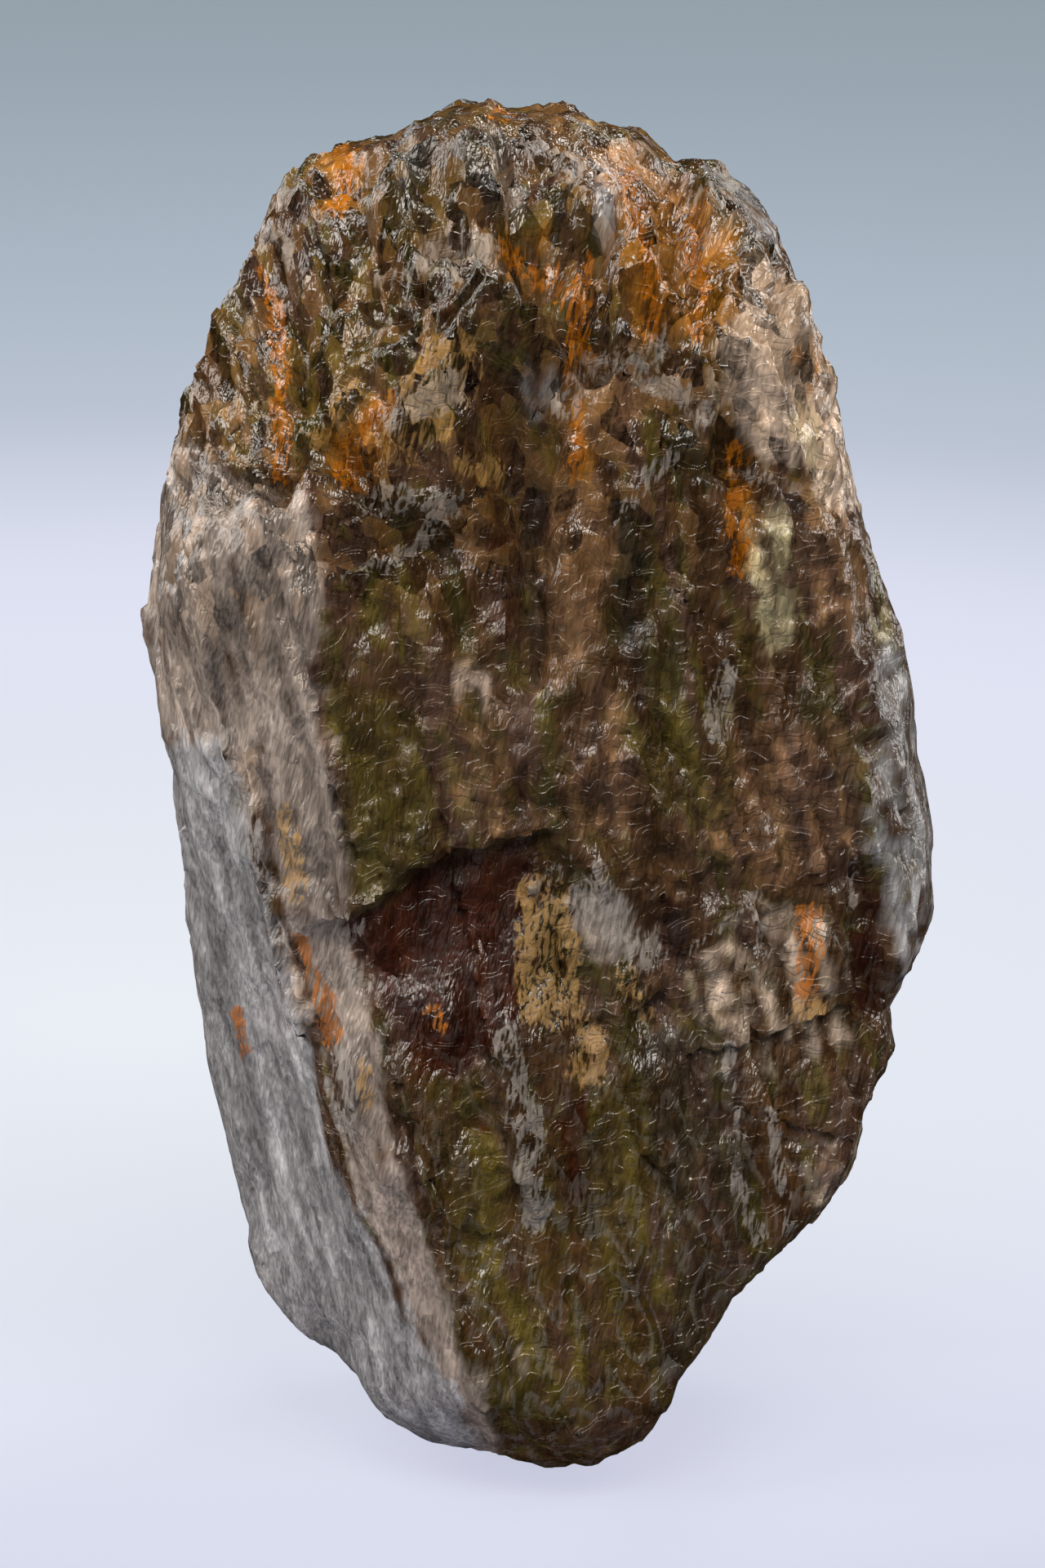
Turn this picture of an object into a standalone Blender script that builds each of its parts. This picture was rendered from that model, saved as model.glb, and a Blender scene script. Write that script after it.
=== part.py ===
"""Andalusite crystal: one rough, near-square prism that stands on its broken foot.

Every number below is a real size in millimetres. X runs to the right, Y to the back and Z up.
The body is worked out from its middle: along each direction the nearest of the crystal's faces
ends it. Ledges, etched channels, columns, broken hollows and growth ridges are then carved into
that body, and last it is trimmed to the outline that it shows when seen from slightly above.
"""

import math

import bmesh
import bpy
import numpy as np
from mathutils import noise

METRES = 0.001

# Driving dimensions
MIDDLE = np.array((0.0, 0.0, 24.0))
BLOCK = (27.0, 20.0, 47.0)
BLOCK_CELLS = (25, 19, 43)
SEEN_FROM_ABOVE = math.radians(15.0)
SEEN_RISE = 1.16
AXIS_LEAN = math.radians(12.0)
FACE_SHARPNESS = 40
OUTLINE_SHARPNESS = 90
OUTLINE_BAND = 5.0
WORN_BACK = 0.25
SIDE_CROWN = 0.3
FOOT_HEIGHT = 0.1

# Across and up, going round from the foot by the left side to the top and down the right side.
OUTLINE = (
    (0.4, -0.1), (-1.8, 0.5), (-3.4, 0.6), (-5.0, 1.4), (-5.9, 2.9), (-6.7, 3.7), (-7.7, 3.9),
    (-9.7, 5.4), (-9.9, 6.8), (-9.5, 7.9), (-10.1, 9.3), (-10.5, 11.0), (-11.3, 15.1),
    (-11.9, 19.8), (-12.3, 22.0), (-12.2, 23.3), (-12.8, 26.2), (-13.4, 29.2), (-12.9, 31.9),
    (-12.4, 33.6), (-11.7, 35.9), (-10.7, 36.9), (-10.8, 38.4), (-9.8, 40.4), (-8.6, 42.3),
    (-7.6, 44.1), (-6.2, 44.5), (-4.6, 44.6), (-2.6, 45.9), (-0.4, 45.5), (1.1, 46.0),
    (2.1, 45.0), (3.7, 44.9), (4.8, 43.7), (6.3, 43.7), (7.9, 42.0), (8.7, 40.4), (9.1, 38.6),
    (10.1, 36.8), (10.6, 34.2), (11.0, 32.4), (11.6, 30.3), (12.6, 27.5), (13.0, 23.9),
    (13.5, 20.4), (13.4, 17.9), (12.4, 16.1), (12.0, 15.4), (12.2, 14.0), (11.2, 11.8),
    (10.9, 10.2), (9.8, 8.5), (7.9, 6.8), (6.8, 5.7), (5.9, 4.1), (4.9, 2.8), (4.7, 2.0),
    (3.7, 0.8), (2.3, 0.1),
)

# Each face: turn from the front towards the right, tilt up from square to the axis, distance out.
PRISM_FACES = (
    (12.0, 0.0, 9.4),
    (-38.0, -1.0, 12.5),
    (-60.0, -2.0, 12.1),
    (-80.0, 4.0, 12.5),
    (-132.0, 0.0, 11.6),
    (-172.0, 1.0, 9.7),
    (145.0, 0.0, 10.8),
    (104.0, 0.0, 12.9),
    (62.0, 0.0, 13.4),
)
TOP_FACES = (
    (-30.0, 46.0, 17.0),
    (35.0, 46.0, 18.5),
    (-87.0, 19.0, 13.4),
    (-90.0, 41.0, 16.6),
    (90.0, 47.0, 20.5),
    (0.0, 87.0, 23.0),
    (160.0, 50.0, 19.4),
    (-140.0, 44.0, 18.0),
)
FOOT_FACES = (
    (95.0, -41.0, 17.3),
    (50.0, -40.0, 18.4),
    (-90.0, -38.0, 22.0),
    (-45.0, -46.0, 22.8),
    (0.0, -52.0, 23.2),
    (150.0, -46.0, 19.8),
    (-140.0, -44.0, 21.4),
)

# Ledges on the front: the lip from left to right, how far past it the step reaches, its depth.
# A step that reaches up lies behind a shelf, and one that reaches down hangs under an overhang.
LEDGES = (
    (((-6.8, 18.2), (-4.8, 19.0), (-2.6, 20.4), (-0.2, 21.1)), -6.0, 0.8),
    (((-7.4, 31.8), (-5.7, 32.6), (-2.6, 31.9)), -2.6, 0.6),
    (((-5.2, 30.3), (-2.6, 31.5)), -1.6, 0.4),
    (((0.8, 36.2), (2.9, 37.5), (5.4, 37.5), (6.8, 36.7), (8.4, 34.2)), 2.6, 1.1),
    (((6.6, 33.3), (9.5, 32.5), (11.0, 30.6)), 2.2, 0.7),
    (((-5.2, 40.2), (-3.0, 40.0), (-0.2, 39.2)), 2.4, 0.9),
    (((-9.6, 37.6), (-7.0, 38.4)), 2.0, 0.6),
    (((2.6, 40.8), (6.6, 40.2)), 1.8, 0.7),
    (((5.6, 13.4), (8.2, 14.4), (10.6, 15.4)), -2.4, 0.4),
)

# Channels etched along the axis: across at half height, lowest and highest, half width, depth.
CHANNELS = (
    (0.4, 38.4, 42.0, 1.4, 1.4),
    (2.0, 36.6, 39.8, 1.0, 1.2),
    (-0.4, 31.8, 37.0, 1.5, 1.5),
    (-6.1, 32.4, 35.0, 1.3, 1.1),
    (7.0, 31.6, 36.4, 1.0, 0.6),
    (-8.2, 35.2, 40.4, 1.0, 0.6),
    (11.4, 15.4, 20.0, 1.1, 0.6),
    (4.8, 38.4, 43.6, 1.2, 0.8),
)

# Shell-shaped hollows: middle (across, back, up), radius, depth.
HOLLOWS = (
    ((-1.5, -9.0, 6.5), 5.5, 0.8),
    ((4.6, -8.0, 5.0), 4.2, 0.6),
    ((-7.0, -3.0, 2.2), 3.0, 0.5),
    ((8.4, -5.0, 8.0), 3.6, 0.5),
    ((3.4, -9.6, 17.0), 4.0, 0.4),
    ((-9.0, -5.0, 36.0), 4.0, 0.4),
    ((8.8, -5.0, 39.0), 4.2, 0.6),
    ((2.0, 9.5, 30.0), 6.0, 0.7),
    ((-7.0, 7.0, 15.0), 5.0, 0.7),
    ((8.0, 7.0, 13.0), 5.5, 0.8),
    ((0.0, 7.0, 41.0), 4.5, 0.7),
)

# Knobs left standing on the worn top: middle (across, back, up), radius, height.
KNOBS = (
    ((-4.0, -4.6, 42.6), 2.6, 0.8),
    ((-1.2, -4.2, 42.4), 2.2, 0.8),
    ((2.4, -3.6, 43.2), 2.2, 0.9),
    ((-6.9, -3.4, 41.6), 2.3, 0.7),
    ((6.4, -2.4, 42.4), 2.2, 0.6),
    ((2.6, 4.6, 44.0), 2.3, 0.7),
    ((-4.2, 4.0, 43.0), 2.5, 0.7),
)


def clear_scene():
    for found in list(bpy.data.objects):
        bpy.data.objects.remove(found)


def ramp(low, high, value):
    """0 below low, 1 above high, and a soft rise between them."""
    share = np.clip((value - low) / (high - low), 0.0, 1.0)
    return share * share * (3.0 - 2.0 * share)


def wander(points, size, layer=0.0):
    """Smooth noise from -1 to 1 whose lumps are about as long as size along each axis."""
    places = points / size + layer
    return np.array([noise.noise(place) for place in places.tolist()])


def crystal_axes():
    """Right, front and up along the crystal, whose axis leans to the left."""
    lean, level = math.sin(AXIS_LEAN), math.cos(AXIS_LEAN)
    return np.array(((level, 0.0, lean), (0.0, -1.0, 0.0), (-lean, 0.0, level)))


def along_crystal(points):
    """Each point's place across, in front of and along the leaning axis through the middle."""
    return (points - MIDDLE) @ crystal_axes().T


def seen_height(points):
    """How high each point lies when looked at from slightly above."""
    back, up = points[:, 1], points[:, 2]
    return back * math.sin(SEEN_FROM_ABOVE) + up * math.cos(SEEN_FROM_ABOVE) + SEEN_RISE


def face_reach(directions):
    """Distance from the middle to the nearest face, with the edges between faces worn round."""
    total = 0.0
    for turn, tilt, distance in PRISM_FACES + TOP_FACES + FOOT_FACES:
        turn, tilt = math.radians(turn), math.radians(tilt)
        level = math.cos(tilt)
        leaning = np.array((math.sin(turn) * level, math.cos(turn) * level, math.sin(tilt)))
        facing = np.maximum(directions @ (leaning @ crystal_axes()), 0.0)
        total = total + (facing / distance) ** FACE_SHARPNESS
    return total ** (-1.0 / FACE_SHARPNESS)


def outline_reach(directions, reach):
    """How far the outline lies along each direction. It is worn smoother in front and behind."""
    centre = seen_height(MIDDLE[None, :])[0]
    across, up = np.array(OUTLINE).T
    turns = np.linspace(-math.pi, math.pi, 361)[:-1]
    rough = np.interp(
        turns, np.arctan2(up - centre, across), np.hypot(across, up - centre), period=2.0 * math.pi
    )
    worn = np.mean([np.roll(rough, shift) for shift in range(-7, 8)], axis=0) - WORN_BACK
    side = directions[:, 0]
    rise = seen_height(MIDDLE + directions) - centre
    seen = np.clip(np.hypot(side, rise), 1e-6, 1.0)
    nearness = np.exp(-((reach / OUTLINE_BAND) ** 2) * (1.0 - seen**2))
    turn = np.arctan2(rise, side)
    worn_here = np.interp(turn, turns, worn, period=2.0 * math.pi)
    rough_here = np.interp(turn, turns, rough, period=2.0 * math.pi)
    level = worn_here + (rough_here - worn_here) * nearness
    return level / seen * (1.0 - SIDE_CROWN * (1.0 - seen))


def growth_ridges(points):
    """Long ridges and flutes that follow the axis."""
    placed = along_crystal(points)
    wide = wander(placed, np.array((2.6, 2.6, 22.0)))
    narrow = wander(placed, np.array((1.3, 1.3, 11.0)), 40.0)
    return 0.28 * wide + 0.16 * narrow


def column_steps(points):
    """The crystal grew as parallel square columns, which end at different heights."""
    placed = along_crystal(points)
    across, front, up = placed.T
    shift = wander(placed, 5.0, 11.0)
    columns = np.column_stack((across / 3.1 + 0.3 * shift, front / 2.7 - 0.3 * shift, 0.0 * up))
    heights = np.array([noise.cell(column) for column in columns.tolist()])
    top = ramp(9.0, 15.0, up)
    return (0.22 + 0.75 * top) * (heights - 0.5)


def ledge_depth(points, lip, reach, depth):
    """A step has its full depth just past its lip and fades away from it."""
    lip_across, lip_up = np.array(lip).T
    across, height = points[:, 0], seen_height(points)
    ragged = 0.35 * wander(points, 1.4, 5.0)
    past = (height - np.interp(across, lip_across, lip_up) + ragged) * math.copysign(1.0, reach)
    ends = ramp(lip_across[0] - 1.0, lip_across[0] + 0.3, across)
    ends *= 1.0 - ramp(lip_across[-1] - 0.3, lip_across[-1] + 1.0, across)
    fade = 1.0 - ramp(0.4 * abs(reach), abs(reach), past)
    return depth * ends * ramp(-0.3, 0.3, past) * fade * (points[:, 1] < 0.0)


def channel_depth(points, across, lowest, highest, half_width, depth):
    height = seen_height(points)
    middle = across + math.tan(AXIS_LEAN) * (0.5 * (lowest + highest) - height)
    sides = np.maximum(0.0, 1.0 - ((points[:, 0] - middle) / half_width) ** 2)
    ends = ramp(lowest - 0.8, lowest + 0.6, height) * (1.0 - ramp(highest - 0.6, highest + 0.8, height))
    return depth * sides * ends * (points[:, 1] < 0.0)


def round_depth(points, place, radius, depth):
    away = np.linalg.norm(points - np.array(place), axis=1)
    return depth * np.maximum(0.0, 1.0 - (away / radius) ** 2)


def surface_points(directions):
    """The crystal's surface along each direction from its middle."""
    reach = face_reach(directions)
    points = MIDDLE + directions * reach[:, None]
    ridges = growth_ridges(points) + 0.25 * wander(points, 1.9, 70.0)
    reach += 0.6 * ridges + column_steps(points)
    for ledge in LEDGES:
        reach -= ledge_depth(points, *ledge)
    for channel in CHANNELS:
        reach -= channel_depth(points, *channel)
    for hollow in HOLLOWS:
        reach -= round_depth(points, *hollow)
    for knob in KNOBS:
        reach += round_depth(points, *knob)
    outline = outline_reach(directions, reach)
    reach = (reach**-OUTLINE_SHARPNESS + outline**-OUTLINE_SHARPNESS) ** (-1.0 / OUTLINE_SHARPNESS)
    return MIDDLE + directions * (reach + 0.4 * ridges)[:, None]


def sliced_block():
    """A block cut into small cells, so that its points spread evenly over the crystal."""
    block = bmesh.new()
    bmesh.ops.create_cube(block, size=1.0)
    bmesh.ops.scale(block, vec=BLOCK, verts=block.verts)
    for axis, cells in enumerate(BLOCK_CELLS):
        normal = np.eye(3)[axis]
        for cut in range(1, cells):
            place = normal * BLOCK[axis] * (cut / cells - 0.5)
            everything = block.verts[:] + block.edges[:] + block.faces[:]
            bmesh.ops.bisect_plane(block, geom=everything, plane_co=place, plane_no=normal)
    return block


def cut_foot(surface):
    """The broken lower end, flat where the crystal stands on it."""
    everything = surface.verts[:] + surface.edges[:] + surface.faces[:]
    level = (0.0, 0.0, FOOT_HEIGHT)
    bmesh.ops.bisect_plane(
        surface, geom=everything, plane_co=level, plane_no=(0.0, 0.0, -1.0), clear_outer=True
    )
    rim = [edge for edge in surface.edges if edge.is_boundary]
    bmesh.ops.edgeloop_fill(surface, edges=rim)


def centre_on_foot(surface):
    """Puts the origin under the middle of the crystal's box, level with the foot, in metres."""
    places = np.array([vertex.co for vertex in surface.verts])
    low, high = places.min(axis=0), places.max(axis=0)
    origin = (0.5 * (low[0] + high[0]), 0.5 * (low[1] + high[1]), low[2])
    bmesh.ops.translate(surface, vec=[-shift for shift in origin], verts=surface.verts)
    bmesh.ops.scale(surface, vec=(METRES, METRES, METRES), verts=surface.verts)


def crystal_mesh():
    surface = sliced_block()
    directions = np.array([vertex.co.normalized() for vertex in surface.verts])
    for vertex, point in zip(surface.verts, surface_points(directions)):
        vertex.co = point
    cut_foot(surface)
    centre_on_foot(surface)
    bmesh.ops.recalc_face_normals(surface, faces=surface.faces)
    mesh = bpy.data.meshes.new("andalusite_crystal")
    surface.to_mesh(mesh)
    surface.free()
    return mesh


def andalusite_material():
    material = bpy.data.materials.new("andalusite")
    material.use_nodes = True
    shader = material.node_tree.nodes["Principled BSDF"]
    shader.inputs["Base Color"].default_value = (0.16, 0.10, 0.06, 1.0)
    shader.inputs["Roughness"].default_value = 0.32
    shader.inputs["Metallic"].default_value = 0.0
    shader.inputs["IOR"].default_value = 1.64
    return material


def main():
    clear_scene()
    group = bpy.data.collections.new("andalusite_specimen")
    bpy.context.scene.collection.children.link(group)
    mesh = crystal_mesh()
    mesh.materials.append(andalusite_material())
    group.objects.link(bpy.data.objects.new("andalusite_crystal", mesh))


main()
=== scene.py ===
import math

import bmesh
import bpy
import numpy as np
from mathutils import Matrix, Vector, noise


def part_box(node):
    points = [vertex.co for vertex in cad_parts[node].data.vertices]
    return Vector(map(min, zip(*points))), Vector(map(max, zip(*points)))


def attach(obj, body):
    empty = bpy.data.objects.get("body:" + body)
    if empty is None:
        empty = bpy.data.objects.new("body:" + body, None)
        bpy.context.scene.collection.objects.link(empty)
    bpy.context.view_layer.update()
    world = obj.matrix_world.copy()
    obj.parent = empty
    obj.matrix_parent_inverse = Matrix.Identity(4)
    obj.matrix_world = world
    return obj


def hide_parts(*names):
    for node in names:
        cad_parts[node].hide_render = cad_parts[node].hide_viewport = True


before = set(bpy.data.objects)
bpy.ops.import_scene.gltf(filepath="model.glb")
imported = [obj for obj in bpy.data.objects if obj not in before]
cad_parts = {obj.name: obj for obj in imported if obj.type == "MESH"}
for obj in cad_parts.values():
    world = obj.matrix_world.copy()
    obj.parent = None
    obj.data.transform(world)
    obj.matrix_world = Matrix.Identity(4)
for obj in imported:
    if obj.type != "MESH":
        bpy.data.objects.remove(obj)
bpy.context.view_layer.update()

# shapes are worked out in millimetres, then moved onto the CAD box
mm = 0.001
seenFromAbove = math.radians(15)  # how far down the front view looks


def ramp(low, high, value):
    # 0 below low, 1 above high, smooth between
    share = np.clip((value - low) / (high - low), 0, 1)
    return share * share * (3 - 2 * share)


def wander(points, size, layer=0.0):
    # smooth noise, -1 to 1, with lumps about as long as size on each axis
    return np.array([noise.noise(place) for place in (points / np.array(size) + layer).tolist()])


def feedNode(tree, node, feeds):
    for name, value in feeds.items():
        if isinstance(value, bpy.types.NodeSocket):
            tree.links.new(value, node.inputs[name])
        else:
            node.inputs[name].default_value = value
    return node


def addNode(tree, kind, feeds=None, **settings):
    made = tree.nodes.new(kind)
    for name, value in settings.items():
        setattr(made, name, value)
    return feedNode(tree, made, feeds or {})


def maths(tree, operation, *values):
    return addNode(tree, "ShaderNodeMath", dict(enumerate(values)), operation=operation).outputs[0]


def times(tree, product, *values):
    for value in values:
        product = maths(tree, "MULTIPLY", product, value)
    return product


def plus(tree, total, *values):
    for value in values:
        total = maths(tree, "ADD", total, value)
    return total


def mixColour(tree, amount, first, second):
    return addNode(tree, "ShaderNodeMix", {0: amount, 6: first, 7: second}, data_type="RGBA").outputs[2]


def softStep(tree, value, low, high):
    feeds = {0: value, 1: low, 2: high, 3: 0.0, 4: 1.0}
    return addNode(tree, "ShaderNodeMapRange", feeds, interpolation_type="SMOOTHSTEP").outputs[0]


def rgb(red, green, blue):
    return (red, green, blue, 1.0)


crystal = {
    "middle": (0.0, 0.0, 24.0),
    "axisLean": 12.0,  # degrees, the top to the left
    "seenRise": 1.16,  # puts the foot of the outline at height 0
    "block": (27.0, 20.0, 47.0),
    "cells": (120, 60, 205),
    "edgeSharpness": 60,
    "outlineSharpness": 140,
    "outlineBand": 5.0,
    "outlineTurns": 1440,
    "wornOver": 28,  # turns to each side that the worn outline is averaged over
    "wornBack": 0.25,
    "sideCrown": 0.3,
    "footHeight": 0.1,
    "top": (8, 14),  # where the worn top begins and is full, along the axis from the middle
    "columnTop": (9, 15),
    "foot": (-17, -12),
    "rim": (0.90, 0.985),  # 1 is square to the view, on the outline itself
    "rimCalm": 0.65,
    "rimWear": 0.15,
    # across and up, round from the foot by the left side to the top and down the right side
    "outline": (
        (0.4, -0.1), (-1.8, 0.5), (-3.4, 0.6), (-5.0, 1.4), (-5.9, 2.9), (-6.7, 3.7), (-7.7, 3.9),
        (-9.7, 5.4), (-9.9, 6.8), (-9.5, 7.9), (-10.1, 9.3), (-10.5, 11.0), (-11.3, 15.1),
        (-11.9, 19.8), (-12.3, 22.0), (-12.2, 23.3), (-12.8, 26.2), (-13.4, 29.2), (-12.9, 31.9),
        (-12.4, 33.6), (-11.7, 35.9), (-10.7, 36.9), (-10.8, 38.4), (-9.8, 40.4), (-8.6, 42.3),
        (-7.6, 44.1), (-6.2, 44.5), (-4.6, 44.6), (-2.6, 45.9), (-0.4, 45.5), (1.1, 46.0),
        (2.1, 45.0), (3.7, 44.9), (4.8, 43.7), (6.3, 43.7), (7.9, 42.0), (8.7, 40.4), (9.1, 38.6),
        (10.1, 36.8), (10.6, 34.2), (11.0, 32.4), (11.6, 30.3), (12.6, 27.5), (13.0, 23.9),
        (13.5, 20.4), (13.4, 17.9), (12.4, 16.1), (12.0, 15.4), (12.2, 14.0), (11.2, 11.8),
        (10.9, 10.2), (9.8, 8.5), (7.9, 6.8), (6.8, 5.7), (5.9, 4.1), (4.9, 2.8), (4.7, 2.0),
        (3.7, 0.8), (2.3, 0.1),
    ),
    # each face: turn from the front to the right, tilt up from square to the axis, distance out
    "faces": (
        (12, 0, 9.4), (-38, -1, 12.5), (-60, -2, 12.1), (-80, 4, 12.5), (-132, 0, 11.6),
        (-172, 1, 9.7), (145, 0, 10.8), (104, 0, 12.9), (62, 0, 13.4),
        (-30, 46, 17.0), (35, 46, 18.5), (-87, 19, 13.4), (-90, 41, 16.6), (90, 47, 20.5),
        (0, 87, 23.0), (160, 50, 19.4), (-140, 44, 18.0),
        (95, -41, 17.3), (50, -40, 18.4), (-90, -38, 22.0), (-45, -46, 22.8), (0, -52, 23.2),
        (150, -46, 19.8), (-140, -44, 21.4),
    ),
    # front ledges: lip from left to right, how far past it the step reaches, depth
    "ledges": (
        (((-6.8, 18.1), (-4.9, 18.9), (-4.5, 19.4), (-2.6, 20.4), (-0.5, 21.0), (0.3, 21.2)), -6.0, 0.8),
        (((-7.4, 31.8), (-5.7, 32.6), (-4.8, 32.5), (-2.6, 31.9)), -2.6, 0.6),
        (((-7.4, 29.8), (-5.0, 30.6), (-2.8, 31.3), (-1.2, 33.0)), 1.5, 0.7),
        (((0.6, 35.9), (1.6, 36.9), (4.1, 37.3), (6.1, 36.2), (6.7, 34.2)), 2.6, 1.1),
        (((6.6, 33.3), (9.5, 32.5), (11.0, 30.6)), 2.2, 0.7),
        (((-5.2, 40.1), (-3.7, 40.6), (-1.6, 40.6), (-0.2, 39.2)), 2.4, 0.9),
        (((-9.6, 37.4), (-7.0, 38.4)), 2.0, 0.6),
        (((2.6, 40.8), (6.6, 40.2)), 1.8, 0.7),
        (((5.6, 13.4), (8.2, 14.4), (10.6, 15.4)), -2.4, 0.4),
    ),
    # channels etched along the axis: across, lowest, highest, half width, depth
    "channels": (
        (0.4, 38.4, 42.0, 1.4, 1.9), (2.0, 36.6, 39.8, 1.0, 1.9), (-0.4, 31.8, 37.0, 1.5, 2.1),
        (-6.1, 32.4, 35.0, 1.3, 1.4), (-3.2, 40.6, 43.2, 1.0, 1.0), (7.0, 31.6, 36.4, 1.0, 0.6),
        (-8.2, 35.2, 40.4, 1.0, 0.6), (11.4, 15.4, 20.0, 1.1, 0.6), (4.8, 38.4, 43.6, 1.2, 0.8),
    ),
    # shell-shaped hollows, and knobs left standing on the worn top: middle, radius, depth
    "hollows": (
        ((-1.5, -9.0, 6.5), 5.5, 0.8), ((4.6, -8.0, 5.0), 4.2, 0.6), ((-7.0, -3.0, 2.2), 3.0, 0.5),
        ((8.4, -5.0, 8.0), 3.6, 0.5), ((3.4, -9.6, 17.0), 4.0, 0.4), ((-9.0, -5.0, 36.0), 4.0, 0.4),
        ((8.8, -5.0, 39.0), 4.2, 0.6), ((2.0, 9.5, 30.0), 6.0, 0.7), ((-7.0, 7.0, 15.0), 5.0, 0.7),
        ((8.0, 7.0, 13.0), 5.5, 0.8), ((0.0, 7.0, 41.0), 4.5, 0.7),
        ((-4.0, -4.6, 42.6), 2.2, -1.1), ((-1.2, -4.2, 42.4), 1.8, -1.1), ((2.4, -3.6, 43.2), 1.9, -1.2),
        ((-6.9, -3.4, 41.6), 1.9, -0.9), ((6.4, -2.4, 42.4), 1.9, -0.8), ((0.6, -7.0, 38.6), 1.5, -0.8),
        ((3.6, -7.2, 36.2), 1.6, -0.8), ((2.6, 4.6, 44.0), 2.3, -0.7),
        ((-4.2, 4.0, 43.0), 2.5, -0.7),
    ),
    # fine grooves and, where the depth is negative, ridges: a line of (across, up), half width, depth
    "grooves": (
        (((-8.6, 40.4), (-8.4, 37.5), (-8.25, 34.7)), 0.25, 0.35),
        (((0.3, 34.6), (0.1, 33.0), (0.15, 30.3), (-0.15, 26.6)), 0.8, 0.9),
        (((6.7, 34.2), (6.9, 32.0), (7.2, 29.5)), 0.3, 0.3),
        (((2.6, 33.0), (2.7, 30.4), (2.9, 26.4)), 0.25, 0.25),
        (((-7.6, 17.6), (-6.7, 14.5)), 0.3, 0.25),
        (((1.25, 6.1), (2.9, 1.5)), 0.2, -0.1),
        (((11.05, 19.8), (11.2, 15.1)), 0.55, 0.5),
        (((1.0, 19.5), (1.3, 16.5), (2.2, 13.5)), 1.1, 0.35),
        (((-0.9, 14.8), (0.0, 11.0), (0.3, 8.4)), 0.6, -0.25),
        (((-10.2, 24.8), (-8.8, 20.1), (-8.5, 19.5), (-7.0, 15.4), (-4.8, 9.9)), 0.6, -0.12),
        (((-7.5, 28.7), (-6.9, 26.2), (-6.2, 21.7), (-6.0, 19.4), (-5.1, 15.1), (-3.7, 11.5),
          (-1.9, 7.5)), 0.7, -0.35),
        (((-5.0, 26.0), (-4.7, 23.5), (-4.4, 21.0)), 0.3, 0.2),
        (((4.2, 31.0), (4.4, 28.0), (4.7, 24.0)), 0.3, 0.25),
        (((-2.0, 9.8), (-1.2, 6.0), (-0.4, 3.4)), 0.35, -0.25),
        (((3.6, 12.6), (4.3, 9.0), (4.0, 5.4)), 0.5, 0.3),
        (((7.4, 27.6), (7.8, 24.0), (7.6, 20.8)), 0.3, 0.25),
    ),
    # columns, and the slivers in them: size, then how far they step on the flanks and more on the top
    "columns": ((3.1, 2.7), (0.32, 0.65)),
    "slivers": ((1.05, 0.95), (0.07, 0.11)),
    # ridges along the axis, rounder lumps and fine threads: strength, size, noise layer
    "ridges": ((0.28, (2.6, 2.6, 22.0), 0.0), (0.16, (1.3, 1.3, 11.0), 40.0)),
    "lumps": (0.25, 1.9, 70.0),
    "threads": (0.07, (0.55, 0.55, 5.0), 90.0),
    # pits: strength on the flanks and more on the top, size, noise layer
    "pits": ((0.05, 0.10, 0.8, 33.0), (0.03, 0.05, 0.4, 35.0)),
    # flat flakes: size, length along the axis, noise layer, edge, then how strongly they tilt and how
    # far they differ in level, on the flanks and more on the top
    "flakes": (
        (1.7, 2.4, 60.0, 0.22, (0.8, 0.1), (0.10, 0.10)),
        (0.8, 2.4, 80.0, 0.22, (1.0, 0.1), (0.10, 0.0)),
        (2.6, 1.3, 33.0, 0.12, (0.0, 0.7), (0.0, 0.30)),
    ),
    "calmAreas": ("garnet", "steel", "lilac"),  # in these the flakes are lower
    "calm": 0.65,
    # shell-like ripples round the broken foot: their middle, how close together, strength
    "ripples": ((-4.5, -9.0, 13.0), 2.1, 0.18),
    "crustHeight": 0.35,
}

middle = np.array(crystal["middle"])
lean = math.radians(crystal["axisLean"])
crystalAxes = np.array((
    (math.cos(lean), 0.0, math.sin(lean)),
    (0.0, -1.0, 0.0),
    (-math.sin(lean), 0.0, math.cos(lean)),
))


def alongCrystal(points):
    # across, in front of and along the leaning axis
    return (points - middle) @ crystalAxes.T


def seenHeight(points):
    rise = points[:, 1] * math.sin(seenFromAbove) + points[:, 2] * math.cos(seenFromAbove)
    return rise + crystal["seenRise"]


def faceReach(directions):
    total = 0.0
    for turn, tilt, distance in crystal["faces"]:
        turn, tilt = math.radians(turn), math.radians(tilt)
        level = math.cos(tilt)
        normal = np.array((math.sin(turn) * level, math.cos(turn) * level, math.sin(tilt)))
        normal = normal @ crystalAxes
        total = total + (np.maximum(directions @ normal, 0) / distance) ** crystal["edgeSharpness"]
    return total ** (-1 / crystal["edgeSharpness"])


def outlineReach(directions, reach):
    centre = seenHeight(middle[None, :])[0]
    across, up = np.array(crystal["outline"]).T
    full, over = 2 * math.pi, crystal["wornOver"]
    turns = np.linspace(-math.pi, math.pi, crystal["outlineTurns"] + 1)[:-1]
    rough = np.interp(turns, np.arctan2(up - centre, across), np.hypot(across, up - centre), period=full)
    worn = np.mean([np.roll(rough, shift) for shift in range(-over, over + 1)], axis=0)
    worn = worn - crystal["wornBack"]
    side = directions[:, 0]
    rise = seenHeight(middle + directions) - centre
    seen = np.clip(np.hypot(side, rise), 1e-6, 1)
    nearness = np.exp(-((reach / crystal["outlineBand"]) ** 2) * (1 - seen**2))
    turn = np.arctan2(rise, side)
    wornHere = np.interp(turn, turns, worn, period=full)
    roughHere = np.interp(turn, turns, rough, period=full)
    level = wornHere + (roughHere - wornHere) * nearness
    return level / seen * (1 - crystal["sideCrown"] * (1 - seen))


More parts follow.
